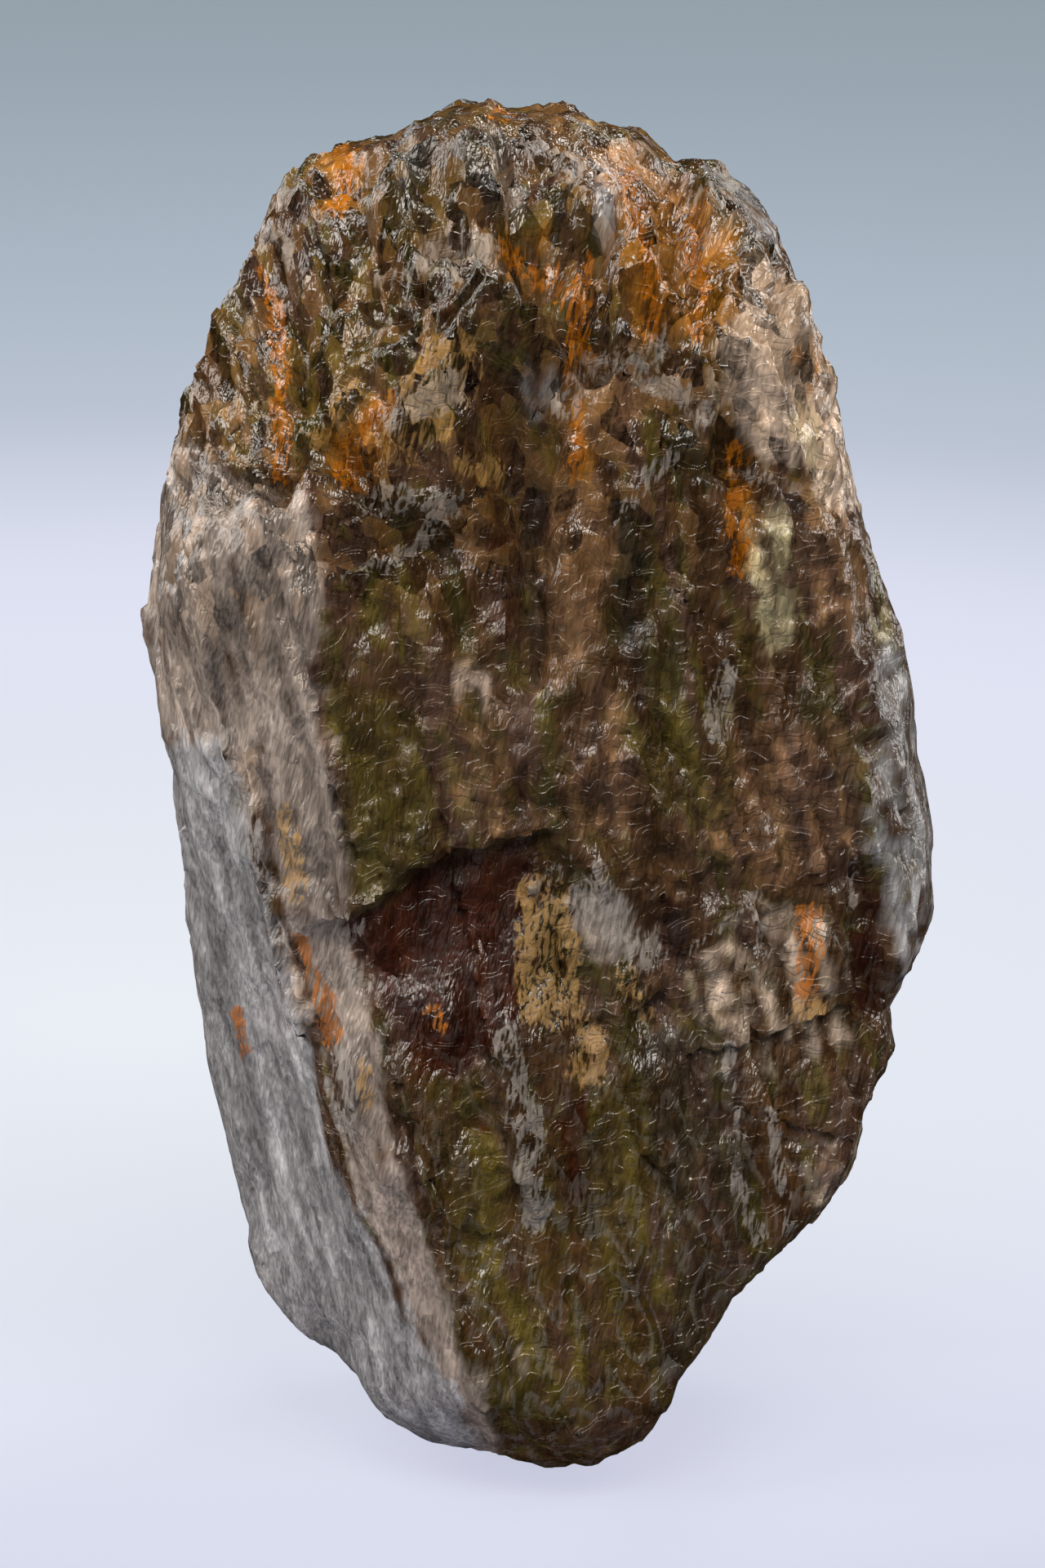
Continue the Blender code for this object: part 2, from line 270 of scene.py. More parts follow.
# where each colour, stain and crust lies on the front, and the areas of painted shade, sheen and glow, in
# millimetres across and up
# areas: strength, then corners; strokes: strength, half width, then points along the line
zones = {
    "tan": (
        (0.3, ((-10.6, 38), (-8.6, 38.6), (-8.4, 33), (-7, 34.2), (-5.9, 32.5), (-6.5, 30.3), (-7, 28.6),
              (-8.1, 30.3), (-9.8, 32.8), (-11.4, 34.2), (-11.3, 35.8))),
        (1, ((0.6, 33.2), (2.5, 33), (2.6, 30.3), (2.3, 27.8), (1.2, 26.4), (0.2, 25.9), (-0.1, 27.5),
              (0.4, 29.5), (0.5, 31.7))),
        (1, ((1.2, 36.6), (2.9, 37), (5.4, 36.6), (6.2, 34.7), (4.6, 35.3), (2.9, 34.7), (1.6, 33),
              (1, 34.7))),
        (0.45, ((1.2, 25.6), (2.9, 26.2), (3.4, 21.7), (2.1, 20.4), (1, 22))),
        (0.7, ((6.9, 34.2), (8.4, 33), (10.6, 31.7), (11.4, 29.2), (10.9, 27.5), (9.1, 28.6), (8.8, 31.9),
              (7.4, 32.5))),
        (0.6, ((-0.4, 45.5), (1.8, 45.7), (2.3, 44.1), (2.9, 42.4), (0.1, 42.7), (-0.4, 44.1))),
        (0.6, ((5.7, 24.8), (10.6, 24.8), (10.9, 20.4), (8.4, 19.3), (5.7, 20.6))),
        (0.3, ((-2.6, 27), (-1, 26.7), (-0.4, 21.5), (-2.3, 20.6), (-2.9, 23.9))),
    ),
    # the stone's pink-cream tone; on the right rim it is also painted glow, standing in for light shining
    # through the thin edge
    "rose": (
        (1, ((6.6, 40.5), (9.1, 39.1), (9.8, 37.2), (10.6, 34.4), (10.9, 31.9), (9.8, 31.9), (9.1, 33.4),
              (7.2, 34), (6.3, 35.6), (6.4, 38))),
        (0.4, ((5.1, 17), (7.6, 19.1), (9.5, 19), (10.5, 17.6), (10.3, 14), (8.4, 13.5), (6.8, 13.7),
              (5.4, 15.4))),
        (0.4, ((9.5, 11), (11, 11.3), (10.9, 9.6), (9.8, 8.2), (9.2, 9))),
        (0.8, ((-9.9, 7.8), (-9, 7.4), (-8.4, 5.5), (-8.7, 4.4), (-9.8, 6))),
        (1, ((-10.2, 24.9), (-9.5, 24.8), (-8.9, 23.1), (-8.8, 21.7), (-9.4, 21.7), (-9.9, 23.4))),
        (1, ((-5.7, 12.1), (-4.9, 12.4), (-4.6, 10.2), (-5.1, 9.7), (-5.7, 10.4))),
        (0.9, ((-6.9, 17.9), (-5.9, 18.4), (-5.3, 17.6), (-5.5, 16.5), (-6.3, 16.8))),
        (0.7, ((2.3, 44.4), (4, 44.1), (4.8, 43), (4.6, 41.3), (2.9, 42.4))),
        (0.4, ((-3, 26.6), (-1.5, 26.6), (-1.6, 25.5), (-2.6, 25.5))),
        (0.6, ((-9.4, 18.7), (-7.7, 16.8), (-7.2, 14.8), (-8.4, 14), (-9.2, 15.9))),
        (0.6, ((-12.8, 27.8), (-11.4, 27.5), (-10.8, 23.9), (-12.2, 23.9))),
    ),
    "amber": (
        (1, ((2.2, 44.1), (3.2, 44.1), (5.7, 42.4), (6.9, 40.5), (6.8, 37.5), (4.8, 37.5), (3.3, 38.6),
              (2.3, 41.3))),
        (0.35, ((-1.5, 41), (-0.1, 41.3), (1.6, 40.5), (2.3, 39.1), (2.2, 36.9), (1.2, 38.6), (-0.4, 39.1))),
        (0.7, ((-7.2, 44.2), (-5.5, 44.1), (-5.7, 41.6), (-7, 41.7))),
        (0.9, ((-6.8, 34.7), (-5.1, 35.7), (-4.3, 34.2), (-5.1, 32.6), (-6.6, 32.7))),
        (0.8, ((8.4, 37.7), (9.5, 37.5), (9.8, 35.8), (9, 36.1))),
        (0.7, ((6.2, 34.2), (7.2, 34.2), (7.4, 30.3), (6.8, 29.2), (6.3, 31.9))),
        (0.6, ((1, 33), (1.4, 33), (1.2, 36.4), (1.8, 36.6), (2.2, 34.2), (2.5, 33))),
    ),
    "olive": (
        (1, ((-6.3, 26.2), (-3.7, 25.3), (-3.4, 22), (-2.6, 20.6), (-4.8, 18.9), (-6.3, 18.8), (-6.6, 22))),
        (0.9, ((-4.8, 43), (-2.3, 43), (-1.9, 40.5), (-4.3, 40.5), (-5.2, 41.6))),
        (1, ((-1.2, 41.6), (0.3, 41.9), (1.4, 40.5), (1, 39.4), (-0.4, 39.5), (-1.3, 40.5))),
        (1, ((-3.4, 11.8), (-1, 11.3), (-0.7, 8.8), (-1.2, 5.5), (-2.6, 6.6), (-3.2, 9.3))),
        (1, ((1.8, 13.2), (3.2, 13.7), (4.1, 11), (4, 6.6), (2.3, 4.4), (1.7, 8.8))),
        (0.9, ((6.8, 28.1), (7.5, 29.2), (7.5, 26.4), (6.2, 25.6))),
        (0.8, ((-8, 38), (-5.2, 38), (-5.4, 34.2), (-7.9, 34.2))),
        (0.8, ((11.2, 29), (11.9, 29), (11.9, 27.5), (11.2, 27.5))),
        (0.7, ((-2.6, 4.4), (2.9, 4.4), (4, 2.7), (1.8, 1), (-1.5, 1.6))),
        (0.55, ((-3.4, 12.4), (4.4, 13.6), (7.4, 9), (5.2, 3), (0.4, 0.4), (-3, 3))),
        (0.7, ((2.9, 25.9), (6.8, 25.6), (6.8, 21.7), (4, 21.5))),
        (0.8, ((5.7, 40.2), (6.8, 40.5), (7.4, 38.6), (6.3, 38))),
        (0.6, ((-5.9, 30.3), (-3.2, 29.7), (-3.2, 26.4), (-5.7, 26.2))),
    ),
    "garnet": (
        (1.1, ((-6.8, 18.1), (-4.9, 18.9), (-4.5, 19.4), (-2.6, 20.4), (-0.5, 21), (0, 20.4), (-0.4, 17.9),
              (-0.1, 15.1), (-2.6, 12.9), (-4.3, 13.7), (-5.1, 15.7), (-5.9, 17.6))),
        (0.2, ((-4.3, 13.7), (-0.4, 14.6), (-0.1, 11.8), (-2.6, 11.3))),
        (1, ((10.7, 19.8), (11.7, 19.8), (11.7, 15.4), (11.2, 14.8), (10.6, 16.5))),
        (0.8, ((4, 19), (5.4, 19), (5.4, 17.2), (4.3, 17.2))),
        (0.7, ((1, 12.9), (1.8, 12.9), (2.1, 8.8), (1, 8.2))),
        (0.6, ((-1.5, 31.9), (-0.4, 31.9), (-0.4, 27.5), (-1.2, 27.5))),
    ),
    # painted shade: dark areas laid into the grooves, slots and hollows
    "dark": (
        (0.7, ((3.2, 14.8), (6.8, 14.8), (7.6, 11), (6.8, 8.2), (4.8, 6.6), (4, 10.4))),
        (0.4, ((-0.8, 37.6), (1.3, 37.5), (1.2, 35.3), (0.3, 33.5), (-0.4, 34.2), (-0.7, 35.8))),
        (1, ((-0.4, 33), (0.4, 33), (0.4, 26.6), (-0.1, 25.9), (-0.4, 29.7))),
        (1, ((4.4, 18.7), (5.4, 18.8), (5.2, 17.6), (4.6, 17.5))),
        (1, ((-0.3, 40.6), (1.1, 40.4), (1.1, 39.1), (-0.2, 39.1))),
        (0.8, ((2.5, 32.5), (3, 33), (3.7, 30.3), (3.6, 25.9), (2.9, 26.2))),
        (0.4, ((-3.7, 38.8), (-1.5, 39.7), (-0.4, 37.7), (-1.5, 36.6), (-3.4, 37.2))),
        (0.35, ((-5.1, 31.9), (-1.5, 32.5), (-0.7, 30.8), (-2.6, 29.7), (-4.3, 30.3))),
        (0.7, ((5.1, 7.1), (7.3, 8.8), (6.8, 6), (4.6, 2.7), (4, 4.1))),
        (0.35, ((4, 36.6), (6.2, 35.8), (6.6, 31.9), (4.8, 31.9))),
        (0.5, ((-5.6, 45), (-0.4, 45.2), (-0.4, 42.2), (-2.4, 41.2), (-5, 41.4))),
    ),
    # pale yellow tone, partly painted glow of light shining through the right rim
    "straw": (
        (0.7, ((7.7, 32.9), (8.6, 31.9), (8.6, 27.5), (8, 26.7), (7.6, 28.6), (7.4, 30.8))),
        (0.8, ((11.2, 28.9), (11.9, 28.9), (11.9, 27.7), (11.3, 27.7))),
        (0.6, ((1.2, 45), (2.2, 44.6), (2.1, 43.7), (1, 43.9))),
        (0.7, ((8.1, 35.8), (9.2, 35.3), (9.8, 33), (8.8, 33.6))),
        (0.6, ((6.2, 25.3), (6.9, 26.4), (6.8, 24.8), (6.2, 24.6))),
    ),
    # partly the flank's grey, partly painted sheen: the grey stands in for the grazing reflection of the pale
    # surroundings
    "steel": (
        (1.1, ((-12.4, 24.1), (-10.2, 24.1), (-9.5, 22), (-8.8, 19.8), (-8.4, 17.3), (-7.4, 14),
              (-6.9, 11), (-5.9, 8.8), (-4.3, 5.5), (-2.6, 2.7), (-1.5, -0.1), (-5.4, -0.1), (-9.8, 3.3),
              (-11.4, 11), (-12.6, 19.3))),
        (0.5, ((11.3, 27.5), (12, 27.7), (12.9, 25.9), (13.4, 23.1), (13.9, 19.8), (12.8, 15.4),
              (11.9, 15.1), (11.7, 19.8), (11.3, 22))),
        (0.7, ((6.2, 43.7), (7.6, 43.7), (8.8, 41.6), (8.6, 40.2), (7.3, 41.3), (6.5, 42.7))),
        (0.3, ((-4.8, 44.2), (-3, 44.4), (-2.6, 43), (-4.3, 42.4))),
        (0.3, ((-1.6, 43.3), (-0.1, 43.4), (-0.1, 41.7), (-1.4, 41.6))),
        (0.5, ((1.8, 43.4), (3.2, 43.1), (3.2, 41.3), (2.1, 41.3))),
        (0.6, ((-0.4, 36.6), (1, 36.6), (1, 35), (-0.1, 34.7))),
    ),
    # partly the band's lilac-brown, partly painted sheen standing in for the left soft box's reflection
    "lilac": (
        (0.7, ((1.2, 19.8), (3.6, 19.4), (4.2, 17.6), (3.2, 16.8), (1.6, 17.4))),
        (1, ((-8.6, 24.8), (-7, 24.8), (-6.3, 22), (-6.2, 19.3), (-5.9, 16.5), (-5.1, 14), (-4.6, 11),
              (-3.7, 7.7), (-2.4, 4.4), (-0.8, 0.8), (-2.0, -0.1), (-3.2, 3.3), (-4.8, 6.6), (-5.9, 9.3),
              (-6.5, 12.1), (-7, 14.8), (-7.9, 17.9), (-8.6, 20.4), (-9.2, 22.6))),
        (1, ((-13.7, 29.2), (-13.1, 32.5), (-11.7, 34.2), (-9.8, 33), (-7.6, 31.9), (-6.8, 29.7),
              (-6.9, 27.5), (-7, 24.8), (-9, 23.9), (-12.4, 24.1), (-12.8, 25.3), (-13.5, 27.5))),
        (0.2, ((-4.8, 8.8), (-2.6, 8.2), (-1.5, 5.5), (0.1, 2.7), (-1.5, 1.6), (-3.2, 4.4))),
        (0.2, ((-2.6, 45.5), (-0.4, 45.5), (-0.4, 43.5), (-2.6, 43), (-3.7, 44.4))),
    ),
}
strokes = {
    "rust": (
        (1.1, 0.25, ((-8.4, 33), (-8.3, 34.7), (-8.4, 37.5), (-8.6, 39.9))),
        (1.1, 0.3, ((-6.8, 14.5), (-7, 15.9), (-7.6, 17.6))), (1, 0.2, ((-9.5, 14), (-9.6, 14.9))),
        (1.2, 0.35, ((1.7, 36.8), (1.8, 38), (1.7, 39.6))), (0.7, 0.4, ((1, 39), (0, 39.7), (-1, 40.5))),
        (1, 0.25, ((6.9, 29.5), (6.8, 31.9), (6.7, 34.2))),
        (1, 0.35, ((9.1, 16.1), (9.2, 17.5), (9.1, 18.7))), (0.9, 0.25, ((-6.3, 41.7), (-6.3, 44.1))),
        (0.9, 0.3, ((4, 37.7), (3.8, 40.2), (3.2, 43))), (0.8, 0.3, ((5.4, 37.5), (5.7, 39.1), (5.1, 41.3))),
        (1, 0.45, ((-6.2, 32.7), (-5.7, 34.2), (-4.8, 35.3))), (0.8, 0.25, ((-3, 14.7), (-3.4, 15.4))),
        (0.9, 0.2, ((-0.8, 44.9), (-1.2, 45.2))), (0.7, 0.2, ((1.5, 33), (1.6, 34.7), (1.4, 36.6))),
    ),
    "ochre": (
        (1.1, 0.8, ((0.6, 15.4), (0.4, 17.3), (0.4, 19.4))),
        (1.1, 0.5, ((1.8, 13.5), (2, 14.6), (1.2, 15.4), (1, 17.6))), (0.8, 0.35, ((3.9, 15.4), (3.3, 16.6))),
        (0.8, 0.35, ((-5.5, 12.4), (-5.7, 13.5))), (0.9, 0.3, ((-7.7, 19), (-7.9, 20.4), (-8.3, 21.7))),
        (0.7, 1.1, ((-4.3, 34.2), (-3.2, 35.8), (-2.6, 36.6))), (0.7, 0.3, ((-7.3, 34.2), (-5.9, 36.1))),
        (0.8, 0.4, ((8.8, 15.4), (9.5, 15.7))), (0.6, 0.5, ((-1.5, 32.8), (-2.2, 33.3))),
    ),
    # partly white crust, partly painted glints: pale strokes where the surface should sparkle
    "pale": (
        (1, 0.45, ((0.1, 8.4), (0, 11), (-0.5, 12.9), (-0.9, 14.6))),
        (1, 0.25, ((-8.9, 19.3), (-9.2, 21.2), (-9.8, 23.1), (-10, 24.8))),
        (1.2, 0.35, ((6.3, 24.6), (6.3, 25.6), (6.6, 26.3))), (0.9, 0.2, ((8.6, 7.9), (8.3, 9.9), (8, 12.1))),
        (0.9, 0.25, ((10.7, 18.7), (10.5, 19.5), (10.6, 20.2))),
        (0.9, 0.4, ((-6.2, 11.5), (-6.3, 12.6), (-6.5, 13.7))),
        (0.9, 0.4, ((-3.7, 39.9), (-2.6, 40.4), (-1.5, 40.6))),
        (0.4, 0.4, ((-4.8, 39.4), (-2.6, 39.7), (-3.7, 40.1))),
        (0.8, 0.5, ((-4.6, 34.6), (-3.4, 35.4), (-2.4, 36.2))),
        (0.8, 0.35, ((3.6, 36.1), (4.8, 35.6), (5.7, 35))),
        (0.9, 0.3, ((-5.9, 29.7), (-4.8, 30), (-3.7, 30.8), (-2.6, 31.9))),
        (0.8, 0.25, ((-3, 31.9), (-5.7, 31.9), (-4.3, 32.4))),
        (1.1, 0.45, ((1.2, 35.3), (2.3, 36.4), (4, 37.2))),
        (0.7, 0.35, ((8.4, 32.5), (7.6, 33), (6.9, 33.2))),
        (0.8, 0.8, ((3.7, 17.3), (3.2, 18.4), (1.9, 19.3))),
        (0.8, 0.15, ((6.9, 11.3), (6.7, 12.6), (6.4, 14.2))),
        (0.7, 0.3, ((1.8, 42.7), (0.7, 43.3), (-0.4, 44.1))), (0.7, 0.3, ((-8, 40.2), (-8.6, 41.3))),
        (0.8, 0.25, ((0.1, 19.5), (0.6, 20.2), (1, 20.4))),
        (0.8, 0.15, ((7.7, 17), (7.6, 18.2), (6.9, 18.7))),
        (0.7, 0.15, ((5.1, 17), (6.8, 18.4), (7.6, 19.2))),
        (0.8, 0.35, ((-5.9, 16.5), (-6.2, 17.3), (-5.7, 17.9))),
        (0.7, 0.25, ((7.6, 7.9), (7.2, 8.8), (6.8, 9.9))), (0.6, 0.3, ((3.2, 31.9), (3.7, 33), (4.6, 33.6))),
        (0.7, 0.3, ((5.1, 42.7), (7.2, 43), (6.2, 43.3))),
    ),
}


def insideArea(across, up, corners):
    inside = np.zeros(len(across), bool)
    for (x1, y1), (x2, y2) in zip(corners, corners[1:] + corners[:1]):
        meets = x1 + (up - y1) * (x2 - x1) / (y2 - y1 or 1e-9)
        inside ^= ((y1 > up) != (y2 > up)) & (across < meets)
    return inside


def strokeNearness(across, up, line, halfWidth):
    # 1 along a line drawn on the front, falling to 0 outside its width
    away = np.full(len(across), np.inf)
    for (x1, y1), (x2, y2) in zip(line, line[1:]):
        length = (x2 - x1) ** 2 + (y2 - y1) ** 2
        along = np.clip(((across - x1) * (x2 - x1) + (up - y1) * (y2 - y1)) / length, 0, 1)
        away = np.minimum(away, np.hypot(across - x1 - along * (x2 - x1), up - y1 - along * (y2 - y1)))
    return 1 - ramp(0.5, 1.5, away / halfWidth)


def pushedPlaces(points):
    # places across and up the front, pushed about so that no area has an even outline
    across = points[:, 0] + 0.30 * wander(points, 2.4, 12.0) + 0.22 * wander(points, 0.7, 17.0)
    up = seenHeight(points) + 0.55 * wander(points, 2.6, 21.0) + 0.30 * wander(points, 0.8, 26.0)
    return across, up


def areaAmount(places, kind):
    across, up = places
    total = np.zeros(len(across))
    for strength, corners in zones.get(kind, ()):
        soft = 0
        for aside, above in ((0, 0), (0.3, 0), (-0.3, 0), (0, 0.4), (0, -0.4)):
            soft = soft + 0.2 * insideArea(across + aside, up + above, corners)
        total = np.maximum(total, strength * soft)
    for strength, halfWidth, line in strokes.get(kind, ()):
        total = np.maximum(total, strength * strokeNearness(across, up, line, halfWidth))
    return total


def columnSteps(points):
    # the crystal grew as parallel square columns, which end at different heights
    placed = alongCrystal(points)
    across, front, up = placed.T
    (wide, deep), (step, topStep) = crystal["columns"]
    (thinWide, thinDeep), (thinStep, topThinStep) = crystal["slivers"]
    shift, splinter = wander(placed, 5.0, 11.0), wander(placed, (1.4, 1.4, 6.0), 27.0)
    top = ramp(*crystal["columnTop"], up)
    thick = np.column_stack((across / wide + 0.3 * shift, front / deep - 0.3 * shift, 0 * up))
    thin = np.column_stack((
        across / thinWide + 0.5 * splinter,
        front / thinDeep - 0.5 * splinter,
        0.13 * up + 0.6 * shift,
    ))
    columns, slivers = (np.array([noise.cell(spot) for spot in spots.tolist()]) for spots in (thick, thin))
    return (step + topStep * top) * (columns - 0.5) + (thinStep + topThinStep * top) * (slivers - 0.5)


def flakes(points, size, layer, edge):
    # flat flakes with low edges: how far each spot rises by its flake's tilt, and by its own level
    places = points / size + layer
    push = [wander(places, 0.9, 3.0 + 20 * axis) for axis in range(3)]
    tilts, levels = [], []
    for place in (places + 0.35 * np.column_stack(push)).tolist():
        (nearest, second, _, _), sites = noise.voronoi(place)
        inner = min((second - nearest) / edge, 1)
        inner *= inner * (3 - 2 * inner)
        chance = noise.cell_vector(sites[0] * 9.0)
        tilts.append(inner * (Vector(place) - sites[0]).dot(chance - Vector((0.5, 0.5, 0.5))))
        levels.append(inner * (chance.x - 0.5))
    return np.array(tilts) * size, np.array(levels) * size


def ledgeDepth(points, lip, reach, depth):
    lipAcross, lipUp = np.array(lip).T
    across, height = points[:, 0], seenHeight(points)
    ragged = 0.3 * wander(points, 1.4, 5.0) + 0.16 * wander(points, 0.5, 8.0)
    past = (height - np.interp(across, lipAcross, lipUp) + ragged) * math.copysign(1, reach)
    ends = ramp(lipAcross[0] - 1, lipAcross[0] + 0.3, across)
    ends = ends * (1 - ramp(lipAcross[-1] - 0.3, lipAcross[-1] + 1, across))
    fade = 1 - ramp(0.4 * abs(reach), abs(reach), past)
    return depth * ends * ramp(-0.1, 0.12, past) * fade * (points[:, 1] < 0)


def channelDepth(points, across, lowest, highest, halfWidth, depth):
    height = seenHeight(points)
    centre = across + math.tan(lean) * (0.5 * (lowest + highest) - height)
    away = (points[:, 0] - centre + 0.25 * wander(points, 0.9, 31.0)) / halfWidth
    sides = np.maximum(0, 1 - away**2)
    ends = ramp(lowest - 0.8, lowest + 0.6, height) * (1 - ramp(highest - 0.6, highest + 0.8, height))
    return depth * sides * ends * (points[:, 1] < 0)


def surfacePoints(directions):
    reach = faceReach(directions)
    points = middle + directions * reach[:, None]
    placed, places = alongCrystal(points), pushedPlaces(points)
    top = ramp(*crystal["top"], placed[:, 2])
    foot = 1 - ramp(*crystal["foot"], placed[:, 2])
    ridges = sum(strength * wander(placed, size, layer) for strength, size, layer in crystal["ridges"])
    strength, size, layer = crystal["lumps"]
    ridges += strength * wander(points, size, layer)
    strength, size, layer = crystal["threads"]
    fine = strength * wander(placed, size, layer)
    for strength, topStrength, size, layer in crystal["pits"]:
        fine += (strength + topStrength * top) * wander(points, size, layer)
    calm = np.max([areaAmount(places, kind) for kind in crystal["calmAreas"]], axis=0)
    calm = crystal["calm"] * np.clip(calm, 0, 1) * (1 - ramp(1.0, 4.0, points[:, 1]))
    for size, long, layer, edge, (tilting, topTilting), (levels, topLevels) in crystal["flakes"]:
        tilt, level = flakes(placed / np.array((1.0, 1.0, long)), size, layer, edge)
        rise = (tilting + topTilting * top) * tilt + (levels + topLevels * top) * level
        fine += rise * (1 - calm if tilting else 1)  # the flakes of the top alone aren't calmed
    centre, closeness, strength = crystal["ripples"]
    ripple = np.linalg.norm(points - np.array(centre), axis=1) + 0.8 * wander(points, 3.0, 3.0)
    fine += strength * foot * (0.6 - np.abs(np.sin(ripple * closeness)))
    crust = np.clip(areaAmount(places, "ochre"), 0, 1) * (points[:, 1] < 2)
    fine += crystal["crustHeight"] * crust * wander(points, 0.55, 38.0)
    reach += 0.6 * ridges + columnSteps(points)
    for ledge in crystal["ledges"]:
        reach -= ledgeDepth(points, *ledge)
    for channel in crystal["channels"]:
        reach -= channelDepth(points, *channel)
    for place, radius, depth in crystal["hollows"]:
        away = np.linalg.norm(points - np.array(place), axis=1) / radius
        reach -= depth * np.maximum(0, 1 - away**2)
    across, height = points[:, 0] + 0.12 * wander(points, 0.7, 52.0), seenHeight(points)
    for line, halfWidth, depth in crystal["grooves"]:
        reach -= depth * strokeNearness(across, height, line, 0.7 * halfWidth) * (points[:, 1] < 0)
    outline = outlineReach(directions, reach)
    sharp = crystal["outlineSharpness"]
    smallest = np.minimum(reach, outline)
    reach = smallest * ((reach / smallest) ** -sharp + (outline / smallest) ** -sharp) ** (-1 / sharp)
    # the relief is gentler, and worn back, on the rim that is seen against the floor
    rise = directions[:, 1] * math.sin(seenFromAbove) + directions[:, 2] * math.cos(seenFromAbove)
    rim = ramp(*crystal["rim"], np.hypot(directions[:, 0], rise))
    relief = (1 - crystal["rimCalm"] * rim) * (0.4 * ridges + fine) - crystal["rimWear"] * rim
    return middle + directions * (reach + relief)[:, None]


def slicedBlock():
    # six grids joined into one closed block of small, even cells
    block = bmesh.new()
    size, cells = Vector(crystal["block"]), crystal["cells"]
    for axis in range(3):
        first, second = (axis + 1) % 3, (axis + 2) % 3
        for end in (-0.5, 0.5):
            turn = Matrix.Identity(4)
            for row in range(3):
                turn[row][0] = 0.5 * size[first] if row == first else 0
                turn[row][1] = 0.5 * size[second] if row == second else 0
                turn[row][2] = 1 if row == axis else 0
            turn[axis][3] = end * size[axis]
            bmesh.ops.create_grid(
                block, x_segments=cells[first], y_segments=cells[second], size=1, matrix=turn)
    bmesh.ops.remove_doubles(block, verts=block.verts, dist=0.001)
    return block


def cutFoot(surface):
    everything = surface.verts[:] + surface.edges[:] + surface.faces[:]
    level = (0, 0, crystal["footHeight"])
    bmesh.ops.bisect_plane(
        surface, geom=everything, plane_co=level, plane_no=(0, 0, -1), clear_outer=True)
    bmesh.ops.edgeloop_fill(surface, edges=[edge for edge in surface.edges if edge.is_boundary])


def buildCrystal():
    surface = slicedBlock()
    directions = np.array([vertex.co.normalized() for vertex in surface.verts])
    for vertex, point in zip(surface.verts, surfacePoints(directions)):
        vertex.co = point
    cutFoot(surface)
    bmesh.ops.recalc_face_normals(surface, faces=surface.faces)
    mesh = bpy.data.meshes.new("crystalSurface")
    surface.to_mesh(mesh)
    surface.free()
    return mesh


def readPoints(mesh, what="co"):
    flat = np.empty(len(mesh.vertices) * 3, np.float32)
    mesh.vertices.foreach_get(what, flat)
    return flat.reshape(-1, 3).astype(float)


mesh = buildCrystal()
designPoints = readPoints(mesh)
designNormals = readPoints(mesh, "normal")
print("crystal form made:", len(mesh.polygons), "faces")

# the middle of the fine surface goes onto the middle of the CAD box, and its foot onto the floor
low, high = designPoints.min(axis=0), designPoints.max(axis=0)
boxLow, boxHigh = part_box("andalusite_crystal")
shift = np.array((
    0.5 * (boxLow[0] + boxHigh[0]) / mm - 0.5 * (low[0] + high[0]),
    0.5 * (boxLow[1] + boxHigh[1]) / mm - 0.5 * (low[1] + high[1]),
    boxLow[2] / mm - low[2],
))
mesh.vertices.foreach_set("co", ((designPoints + shift) * mm).astype(np.float32).ravel())
mesh.update()
print("moved onto the CAD box by", np.round(shift, 3).tolist(), "mm")

